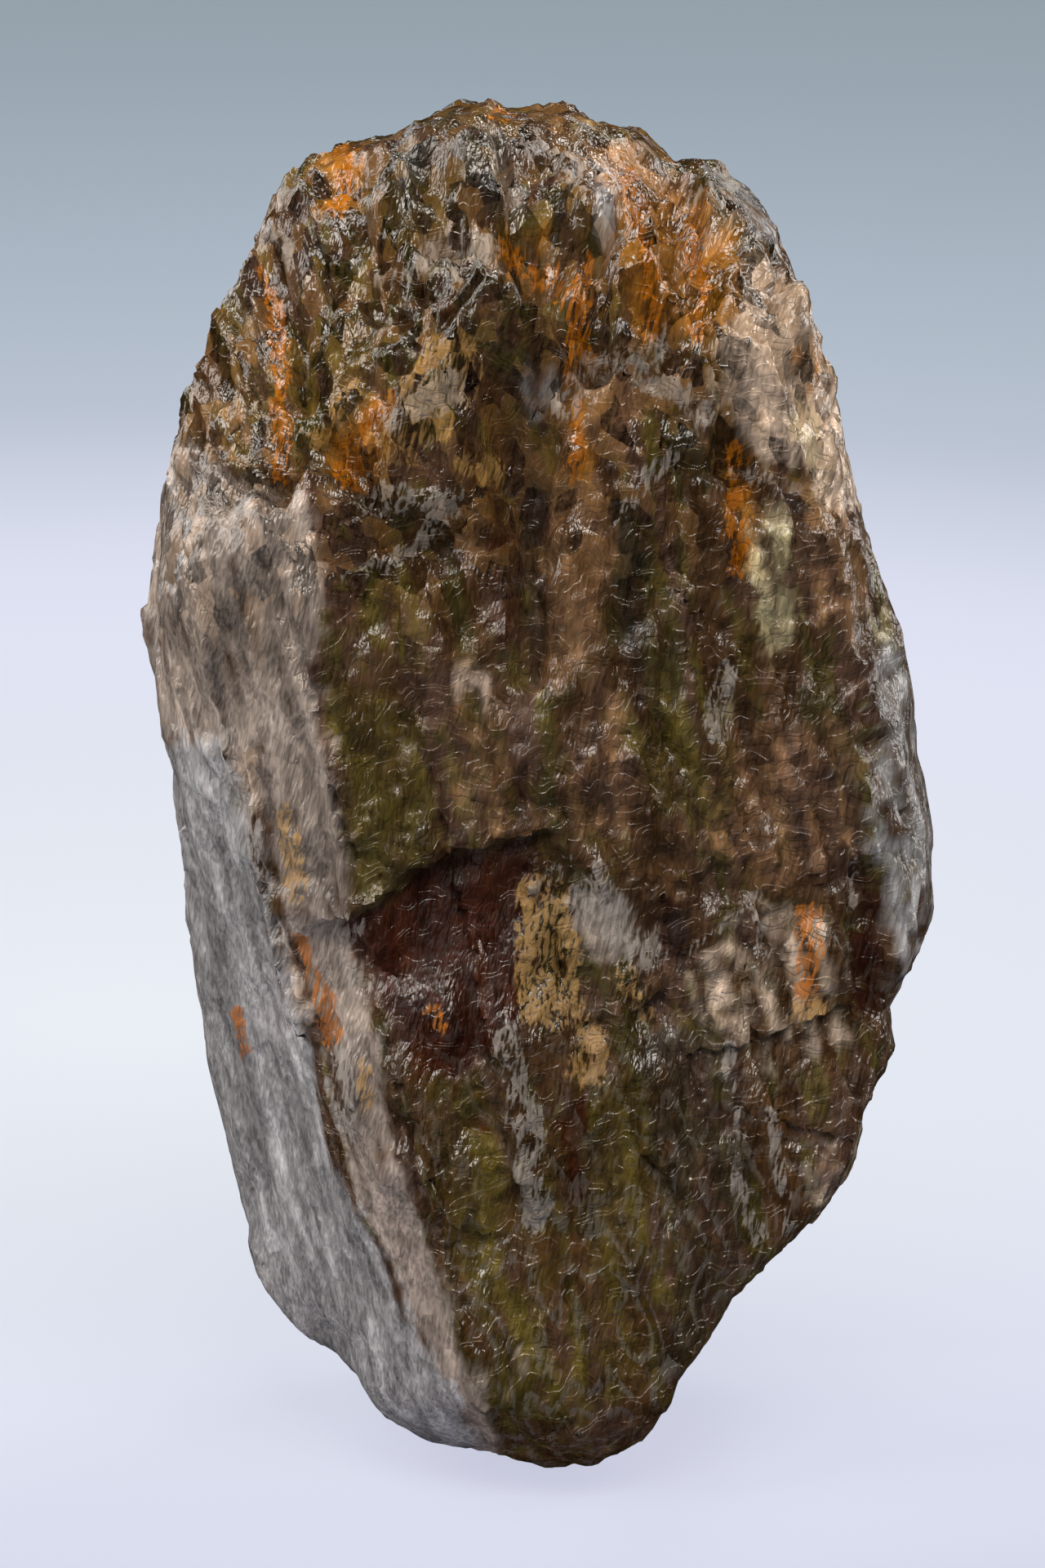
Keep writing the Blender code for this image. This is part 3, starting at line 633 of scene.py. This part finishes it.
finish = {
    "ior": 1.64,
    "specular": 0.46,
    "transmission": 0.5,
    "absorption": rgb(0.50, 0.33, 0.08),
    "absorptionDensity": 250.0,
    "roughness": (0.22, 0.2, 0.14, 0.3),  # plain, more by fibre, less where polished, more on crusts
    "sharpAngle": 50,
    # the grain's stretch and scale, per millimetre
    "fibreStretch": (1.0, 1.0, 0.2),
    "fibreScale": 7.0,
    "flakeStretch": (1.0, 1.0, 0.55),
    "flakeScale": 1.6,
    "flakeTilt": 0.8,
    "terraceStretch": (0.9, 1.0, 1.5),
    "terraceTurn": 0.6,
    "terraceScale": 1.5,
    "terraceSteps": 5.5,
    "shellSteps": 3.4,
    # heights in millimetres
    "terraceHeight": 0.034,
    "shellHeight": 0.22,
    "fibreHeight": 0.07,
    # how strongly each effect shows in the colour
    "brightness": 0.88,
    "flakeContrast": (0.6, 0.7),  # on the flanks, and more on the top
    "treadShadeContrast": 0.45,
    "fibreContrast": 0.55,
    "goldCover": 0.25,
    "paintedSheenCover": 0.4,
    "edgeHighlightStrength": 0.32,
    "crustEdgeHighlightStrength": 0.7,
    # the stone's own tones, in the order in which they lie over each other
    "stone": {
        "brown": (0.125, 0.057, 0.018),
        "plum": (0.108, 0.054, 0.030),
        "moss": (0.084, 0.060, 0.012),
    },
    # the areas over them, with how far each covers; among them are painted shade, painted sheen and painted
    # glow
    "areas": {
        "tan": (0.75, (0.28, 0.140, 0.064)),
        # pink-cream tone, made paler as painted glow of light through the right rim
        "rose": (0.85, (0.74, 0.55, 0.41)),
        "olive": (0.65, (0.105, 0.074, 0.009)),
        "garnet": (0.97, (0.046, 0.008, 0.001)),
        "amber": (0.82, (0.38, 0.145, 0.014)),
        # partly the stone's lilac-brown, partly painted sheen
        "lilac": (0.85, (0.39, 0.315, 0.265)),
        # partly the stone's grey, partly painted sheen of a grazing reflection
        "steel": (0.90, (0.41, 0.395, 0.395)),
        # pale yellow tone, partly painted glow on the right rim
        "straw": (0.65, (0.60, 0.50, 0.28)),
        # painted shade for the grooves, slots and hollows
        "dark": (0.75, (0.036, 0.024, 0.016)),
    },
    "fibrousAreas": ("lilac", "steel"),
    # the stains and crusts, the pale crust partly painted glints: how far the grain breaks each up, how far
    # it covers, tone
    "stains": {
        "rust": (6.0, 0.8, rgb(0.56, 0.165, 0.003)),
        "ochre": (7.0, 0.7, rgb(0.50, 0.27, 0.06)),
        "pale": (7.0, 0.55, rgb(0.44, 0.39, 0.34)),
    },
    "gold": rgb(0.50, 0.25, 0.05),
    # painted sheen: a grey reflection-like tone for patches on the broken foot
    "paintedSheen": rgb(0.27, 0.245, 0.21),
    # painted highlight: the tone of the thin lines along the terrace steps
    "edgeHighlight": rgb(0.36, 0.28, 0.21),
    # the back carries the same areas, scattered: their size, and how much rarer each is there
    "scatterSize": (2.8, 2.8, 6.5),
    "rarer": {"olive": 0.0, "tan": 0.06, "garnet": 0.12, "lilac": 0.05, "rust": 0.26, "ochre": 0.22},
    "rarerOtherwise": 0.18,
}


def storeOnPoints(mesh, name, kind, *columns):
    field = {"FLOAT": "value", "FLOAT_COLOR": "color", "FLOAT_VECTOR": "vector"}[kind]
    values = np.column_stack(columns).astype(np.float32).ravel()
    mesh.attributes.new(name, kind, "POINT").data.foreach_set(field, values)


def toneSurface(mesh, points, normals):
    placed, places = alongCrystal(points), pushedPlaces(points)
    facing = -normals[:, 1] * math.cos(seenFromAbove) + normals[:, 2] * math.sin(seenFromAbove)
    front = ramp(-0.15, 0.1, facing)
    thin, blotch = wander(placed, (0.45, 0.45, 3.2), 61.0), wander(placed, (1.6, 1.6, 5.5), 65.0)
    uneven = 0.55 * thin + 0.45 * wander(points, 0.6, 68.0)

    def amount(kind, layer):
        rarer = finish["rarer"].get(kind, finish["rarerOtherwise"])
        scatter = wander(placed, finish["scatterSize"], 5.0 + 3.7 * layer)
        scatter = ramp(0.12 + rarer, 0.5 + rarer, scatter)
        soft = front * areaAmount(places, kind) + (1 - front) * scatter
        return ramp(0.15, 0.85, soft + uneven * (soft > 0.01)), soft

    brown, plum, moss = (np.array(tone) for tone in finish["stone"].values())
    streaks = thin + 0.5 * wander(placed, (1.2, 1.2, 9.0), 71.0)
    colour = brown + (plum - brown) * ramp(-0.15, 0.2, blotch)[:, None]
    colour = colour + (moss - colour) * ramp(-0.05, 0.25, streaks)[:, None]
    fibrous = np.zeros(len(points))
    for layer, (kind, (cover, tone)) in enumerate(finish["areas"].items()):
        crisp, soft = amount(kind, layer)
        colour = colour + (np.array(tone) - colour) * (cover * crisp)[:, None]
        if kind in finish["fibrousAreas"]:
            fibrous = np.clip(np.maximum(fibrous, soft), 0, 1)
    shade = 0.65 * thin + 0.5 * blotch + 0.4 * wander(points, 0.45, 75.0)
    colour = colour * np.exp(shade)[:, None]
    storeOnPoints(mesh, "tint", "FLOAT_COLOR", colour, fibrous)
    patchy = np.clip(1.05 + 1.6 * uneven, 0, 1.4)
    stains = [amount(kind, 10 + layer)[1] * patchy for layer, kind in enumerate(finish["stains"])]
    storeOnPoints(mesh, "stains", "FLOAT_COLOR", *np.clip(stains, 0, 1), np.ones(len(points)))

    # how strongly flakes, terraces, shells and fibres stand out; the deep red glass is smoother
    glassy, low = ramp(4, 12, placed[:, 2]), 1 - ramp(8, 21, points[:, 2])
    etched = (1 - fibrous) * (0.25 + 0.75 * ramp(0.012, 0.045, colour[:, 1]))
    calm = 1 - 0.85 * fibrous
    storeOnPoints(
        mesh, "relief", "FLOAT_COLOR",
        calm * (0.4 + 0.6 * glassy),
        calm * finish["terraceHeight"] * np.clip(etched - 0.5 * glassy, 0, 1),
        calm * finish["shellHeight"] * (0.3 + 0.7 * low),
        finish["fibreHeight"] * (1 + fibrous),
    )
    storeOnPoints(mesh, "zone", "FLOAT_VECTOR", etched, low, glassy)
    shell = wander(placed, (2.2, 2.2, 4.4), 83.0) + 0.4 * wander(placed, (1.0, 1.0, 2.2), 87.0)
    storeOnPoints(mesh, "shell", "FLOAT", shell + 2.0)
    # the crystal's own grain: places along its axes in millimetres, pushed about a little
    push = [
        0.45 * wander(placed, 2.2, 15.0 + 9 * axis) + 0.16 * wander(placed, 0.8, 45.0 + 9 * axis)
        for axis in range(3)
    ]
    storeOnPoints(mesh, "flow", "FLOAT_VECTOR", placed + np.column_stack(push))


def newGroup(name, takes, gives):
    group = bpy.data.node_groups.new(name, "ShaderNodeTree")
    for title, kind in takes:
        group.interface.new_socket(title, in_out="INPUT", socket_type="NodeSocket" + kind)
    for title, kind in gives:
        group.interface.new_socket(title, in_out="OUTPUT", socket_type="NodeSocket" + kind)
    return group, group.nodes.new("NodeGroupInput").outputs, group.nodes.new("NodeGroupOutput").inputs


def useGroup(tree, group, **feeds):
    made = tree.nodes.new("ShaderNodeGroup")
    made.node_tree = group
    return feedNode(tree, made, feeds).outputs


def crispMask():
    # a soft mask broken up by the grain, with a sharper rim
    group, takes, gives = newGroup(
        "crispMask", (("Mask", "Float"), ("Grain", "Float"), ("Break", "Float")), (("Amount", "Float"),))
    uneven = times(group, maths(group, "SUBTRACT", takes["Grain"], 0.5), takes["Break"])
    amount = softStep(group, times(group, takes["Mask"], plus(group, 1.0, uneven)), 0.25, 0.8)
    group.links.new(amount, gives["Amount"])
    return group


def tiltedFlakes():
    # flat flakes at random small tilts, as a height, and a tone that differs from flake to flake
    group, takes, gives = newGroup(
        "tiltedFlakes", (("Place", "Vector"), ("Scale", "Float"), ("Tilt", "Float")),
        (("Height", "Float"), ("Tone", "Float")))

    def vectors(operation, first, second):
        return addNode(group, "ShaderNodeVectorMath", {0: first, 1: second}, operation=operation).outputs

    cells = addNode(group, "ShaderNodeTexVoronoi", {"Vector": takes["Place"], "Scale": takes["Scale"]})
    cells = cells.outputs
    slope = vectors("SUBTRACT", cells["Color"], (0.5, 0.5, 0.5))[0]
    inward = vectors("SUBTRACT", takes["Place"], cells["Position"])[0]
    rise = vectors("DOT_PRODUCT", slope, inward)["Value"]
    tone = addNode(group, "ShaderNodeSeparateColor", {0: cells["Color"]}).outputs[1]
    group.links.new(times(group, rise, takes["Tilt"]), gives["Height"])
    group.links.new(tone, gives["Tone"])
    return group


def etchedTerraces():
    # treads with narrow steps between them, from a smooth level
    # Height rises tread by tread, Edge is each step's line, and Part is the place on the tread
    group, takes, gives = newGroup(
        "etchedTerraces", (("Level", "Float"), ("Steps", "Float")),
        (("Height", "Float"), ("Edge", "Float"), ("Part", "Float")))
    level = times(group, takes["Level"], takes["Steps"])
    part = maths(group, "FRACT", level)
    tread = plus(group, maths(group, "FLOOR", level), softStep(group, part, 0.80, 1.0))
    group.links.new(plus(group, tread, times(group, part, 0.35)), gives["Height"])
    group.links.new(softStep(group, part, 0.76, 0.92), gives["Edge"])
    group.links.new(part, gives["Part"])
    return group


def crystalMaterial():
    material = bpy.data.materials.new("andalusiteGlaze")
    material.use_nodes = True
    tree = material.node_tree
    shader = tree.nodes["Principled BSDF"]
    shader.distribution = "GGX"

    def stored(name):
        return addNode(tree, "ShaderNodeAttribute", attribute_name=name).outputs

    def parts(values, kind="Color"):
        return addNode(tree, "ShaderNodeSeparate" + kind, {0: values}).outputs

    def mapped(vector, scale, turn=0.0):
        feeds = {"Vector": vector, "Rotation": (0.0, turn, 0.0), "Scale": scale}
        return addNode(tree, "ShaderNodeMapping", feeds).outputs[0]

    def noisy(vector, scale, detail, roughness):
        feeds = {"Vector": vector, "Scale": scale, "Detail": detail, "Roughness": roughness}
        return addNode(tree, "ShaderNodeTexNoise", feeds).outputs[0]

    tint, relief, flow = stored("tint"), stored("relief"), stored("flow")["Vector"]
    weights, stain = parts(relief["Color"]), parts(stored("stains")["Color"])
    etched, low, glassy = parts(stored("zone")["Vector"], "XYZ")
    scaled = maths(tree, "SUBTRACT", 1.0, tint["Alpha"])  # where the stone isn't fibrous

    where = addNode(tree, "ShaderNodeTexCoord").outputs["Object"]
    place = mapped(where, (1 / mm, 1 / mm, 1 / mm), -lean)
    fibre = noisy(mapped(place, finish["fibreStretch"]), finish["fibreScale"], 1.0, 0.6)
    slanted = mapped(flow, finish["terraceStretch"], finish["terraceTurn"])
    wavy = noisy(slanted, finish["terraceScale"], 0.0, 0.5)
    flake = useGroup(tree, tiltedFlakes(), Place=mapped(flow, finish["flakeStretch"]),
                     Scale=finish["flakeScale"], Tilt=finish["flakeTilt"])
    steps = etchedTerraces()
    terrace = useGroup(tree, steps, Level=wavy, Steps=finish["terraceSteps"])
    shell = useGroup(tree, steps, Level=stored("shell")["Fac"], Steps=finish["shellSteps"])

    # rust is broken up by the fibres alone, and the crusts by fibres and flakes
    specks = plus(tree, times(tree, fibre, 0.82), times(tree, flake["Tone"], 0.18))
    crisp, colour, amounts = crispMask(), tint["Color"], []
    for mask, grain, stainValues in zip(stain, (fibre, specks, specks), finish["stains"].values()):
        breakUp, cover, tone = stainValues
        amounts.append(useGroup(tree, crisp, Mask=mask, Grain=grain, Break=breakUp)[0])
        colour = mixColour(tree, times(tree, amounts[-1], cover), colour, tone)
    _, ochre, pale = amounts
    crust = maths(tree, "MAXIMUM", ochre, pale)

    # each fibre and flake has its own tone, each tread gets painted shade that runs from darker to lighter
    # across it, and some flakes of the top are golden
    contrast, topContrast = finish["flakeContrast"]
    mosaic = times(tree, maths(tree, "SUBTRACT", flake["Tone"], 0.5),
                   plus(tree, contrast, times(tree, glassy, topContrast)))
    paintedTreadShade = times(tree, maths(tree, "SUBTRACT", terrace["Part"], 0.5),
                   times(tree, scaled, finish["treadShadeContrast"]))
    threads = times(tree, softStep(tree, fibre, 0.30, 0.70), finish["fibreContrast"])
    value = plus(tree, plus(tree, finish["brightness"], mosaic), plus(tree, paintedTreadShade, threads))
    colour = addNode(tree, "ShaderNodeVectorMath", {0: colour, 3: value}, operation="SCALE").outputs[0]
    golden = softStep(tree, flake["Tone"], 0.62, 0.70)
    golden = times(tree, golden, times(tree, glassy, finish["goldCover"]))
    colour = mixColour(tree, golden, colour, finish["gold"])
    # painted sheen: the broken foot gets grey patches that stand in for reflections, and each step of the
    # terraces gets a thin painted highlight line
    paintedSheen = times(tree, softStep(tree, shell["Part"], 0.55, 0.85), softStep(tree, fibre, 0.38, 0.52))
    paintedSheen = times(tree, paintedSheen, low, times(tree, scaled, finish["paintedSheenCover"]))
    colour = mixColour(tree, paintedSheen, colour, finish["paintedSheen"])
    # painted highlight: a thin lighter line along each terrace step, stronger on the pale crust
    paintedEdgeHighlights = times(tree, terrace["Edge"], softStep(tree, flake["Tone"], 0.25, 1.0))
    paintedEdgeHighlights = times(tree, paintedEdgeHighlights, times(tree, etched, finish["edgeHighlightStrength"]))
    paintedEdgeHighlights = plus(tree, paintedEdgeHighlights, times(tree, pale, terrace["Edge"], finish["crustEdgeHighlightStrength"]))
    colour = mixColour(tree, paintedEdgeHighlights, colour, finish["edgeHighlight"])

    plain, byFibre, polish, byCrust = finish["roughness"]
    rough = plus(tree, plain, times(tree, fibre, byFibre))
    rough = maths(tree, "SUBTRACT", rough, times(tree, maths(tree, "MAXIMUM", glassy, low), polish))
    rough = plus(tree, rough, times(tree, crust, byCrust))

    height = times(tree, flake["Height"], weights[0])
    for part, weight in (
        (terrace["Height"], weights[1]), (shell["Part"], weights[2]), (fibre, relief["Alpha"]),
    ):
        height = maths(tree, "MULTIPLY_ADD", part, weight, height)
    bump = addNode(tree, "ShaderNodeBump", {"Strength": 1.0, "Distance": mm, "Height": height})

    tree.links.new(colour, shader.inputs["Base Color"])
    tree.links.new(rough, shader.inputs["Roughness"])
    tree.links.new(bump.outputs[0], shader.inputs["Normal"])
    shader.inputs["IOR"].default_value = finish["ior"]
    shader.inputs["Specular IOR Level"].default_value = finish["specular"]
    shader.inputs["Transmission Weight"].default_value = finish["transmission"]
    soak = addNode(tree, "ShaderNodeVolumeAbsorption", {
        "Color": finish["absorption"], "Density": finish["absorptionDensity"]})
    tree.links.new(soak.outputs[0], tree.nodes["Material Output"].inputs["Volume"])
    return material


toneSurface(mesh, designPoints, designNormals)
mesh.materials.append(crystalMaterial())
for polygon in mesh.polygons:
    polygon.use_smooth = True
mesh.set_sharp_from_angle(angle=math.radians(finish["sharpAngle"]))
crystalSurface = bpy.data.objects.new("crystalSurface", mesh)
bpy.context.scene.collection.objects.link(crystalSurface)
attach(crystalSurface, "root")
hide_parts("andalusite_crystal")
print("crystal surface placed")


studio = {
    "floorReach": 1.6,
    "paintedLightPool": (-0.014, 0.05, 0.0),  # the middle of the floor's painted pool of light, its own glow and no lamp's
    "paintedGlowTones": (  # the floor's painted glow, a pool of light it gives off itself, from the middle of the pool outward in metres
        (0.000, rgb(0.66, 0.68, 0.74)),
        (0.035, rgb(0.54, 0.57, 0.66)),
        (0.066, rgb(0.60, 0.60, 0.76)),
        (0.092, rgb(0.29, 0.34, 0.44)),
        (0.150, rgb(0.17, 0.235, 0.30)),
        (0.260, rgb(0.05, 0.07, 0.08)),
        (0.450, rgb(0.03, 0.04, 0.045)),
    ),
    "paper": rgb(0.10, 0.11, 0.11),
    "paperRoughness": 0.9,
    "paperSpecular": 0.1,
    "air": rgb(0.90, 0.95, 1.0),
    "airStrength": 0.12,
    "cameraTarget": (-0.00047, 0.0, 0.02243),
    "lens": 500.0,
    "sensorWidth": 36.0,
    "clip": (0.01, 20.0),
    "frameHeight": 0.05246,  # metres seen from top to bottom at the target
    "lampTarget": (0.0, 0.0, 0.022),
    # name, place, width, height, power, colour
    "lamps": (
        ("leftBackBox", (-0.26, 0.22, 0.15), 0.24, 0.30, 0.80, (1.0, 0.98, 0.96)),
        ("leftBox", (-0.28, -0.10, 0.20), 0.22, 0.32, 1.2, (1.0, 0.95, 0.90)),
        ("rightBackBox", (0.30, 0.14, 0.14), 0.18, 0.28, 0.85, (1.0, 0.98, 0.96)),
        ("frontTopBox", (0.06, -0.24, 0.32), 0.24, 0.20, 1.45, (1.0, 0.95, 0.89)),
        ("lowFrontCard", (-0.05, -0.40, 0.06), 0.30, 0.10, 0.04, (1.0, 0.97, 0.95)),
        ("backKey", (0.12, 0.17, 0.28), 0.10, 0.10, 0.40, (1.0, 0.98, 0.95)),
    ),
}


def buildFloor():
    surface = bmesh.new()
    bmesh.ops.create_grid(surface, x_segments=4, y_segments=4, size=studio["floorReach"])
    mesh = bpy.data.meshes.new("paleFloor")
    surface.to_mesh(mesh)
    surface.free()
    material = bpy.data.materials.new("paleFloorPaintedGlow")
    material.use_nodes = True
    material.cycles.emission_sampling = "NONE"
    tree = material.node_tree
    shader = tree.nodes["Principled BSDF"]
    where = addNode(tree, "ShaderNodeTexCoord").outputs["Object"]
    outward = addNode(tree, "ShaderNodeVectorMath", {0: where, 1: studio["paintedLightPool"]}, operation="DISTANCE")
    reach = studio["paintedGlowTones"][-1][0]
    outward = maths(tree, "DIVIDE", outward.outputs["Value"], reach)
    paintedFloorGlow = addNode(tree, "ShaderNodeValToRGB", {0: outward})
    paintedFloorGlow.color_ramp.interpolation = "B_SPLINE"
    for index, (distance, tone) in enumerate(studio["paintedGlowTones"]):
        stop = paintedFloorGlow.color_ramp.elements[index] if index < 2 else paintedFloorGlow.color_ramp.elements.new(1.0)
        stop.position, stop.color = distance / reach, tone
    # painted light: the floor glows as a pale pool with a lilac tint, which also keeps the stone's shadow on
    # it faint
    tree.links.new(paintedFloorGlow.outputs[0], shader.inputs["Emission Color"])
    shader.inputs["Emission Strength"].default_value = 1.0
    shader.inputs["Base Color"].default_value = studio["paper"]
    shader.inputs["Roughness"].default_value = studio["paperRoughness"]
    shader.inputs["Specular IOR Level"].default_value = studio["paperSpecular"]
    mesh.materials.append(material)
    floor = bpy.data.objects.new("paleFloor", mesh)
    bpy.context.scene.collection.objects.link(floor)
    floor.visible_glossy = False  # keeps a pale veil off the stone


def placeLamp(name, place, width, height, power, colour):
    lamp = bpy.data.lights.new(name, "AREA")
    lamp.shape, lamp.size, lamp.size_y = "RECTANGLE", width, height
    lamp.energy, lamp.color = power, colour
    holder = bpy.data.objects.new(name, lamp)
    holder.location = place
    aim = Vector(studio["lampTarget"]) - Vector(place)
    holder.rotation_euler = aim.to_track_quat("-Z", "Y").to_euler()
    bpy.context.scene.collection.objects.link(holder)


def placeCamera():
    camera = bpy.data.cameras.new("camera")
    camera.lens, camera.sensor_width = studio["lens"], studio["sensorWidth"]
    camera.clip_start, camera.clip_end = studio["clip"]
    holder = bpy.data.objects.new("camera", camera)
    target = Vector(studio["cameraTarget"])
    away = studio["lens"] * studio["frameHeight"] / camera.sensor_width
    holder.location = target + away * Vector((0, -math.cos(seenFromAbove), math.sin(seenFromAbove)))
    holder.rotation_euler = (target - holder.location).to_track_quat("-Z", "Y").to_euler()
    bpy.context.scene.collection.objects.link(holder)
    bpy.context.scene.camera = holder


def setAir():
    world = bpy.data.worlds.new("softAir")
    bpy.context.scene.world = world
    world.use_nodes = True
    world.cycles.sampling_method = "NONE"
    background = world.node_tree.nodes["Background"]
    background.inputs["Color"].default_value = studio["air"]
    background.inputs["Strength"].default_value = studio["airStrength"]
    world.cycles_visibility.glossy = False  # only the soft boxes shine in the crystal


buildFloor()
for lamp in studio["lamps"]:
    placeLamp(*lamp)
placeCamera()
setAir()
bpy.context.scene.view_settings.view_transform = "Standard"
bpy.context.scene.cycles.use_light_tree = False
bpy.context.scene.cycles.max_bounces = 2
bpy.context.scene.cycles.transmission_bounces = 2
bpy.context.scene.cycles.diffuse_bounces = 1
bpy.context.scene.cycles.caustics_reflective = False
bpy.context.scene.cycles.caustics_refractive = False
bpy.context.scene.cycles.glossy_bounces = 2
print("floor, lamps and camera placed")
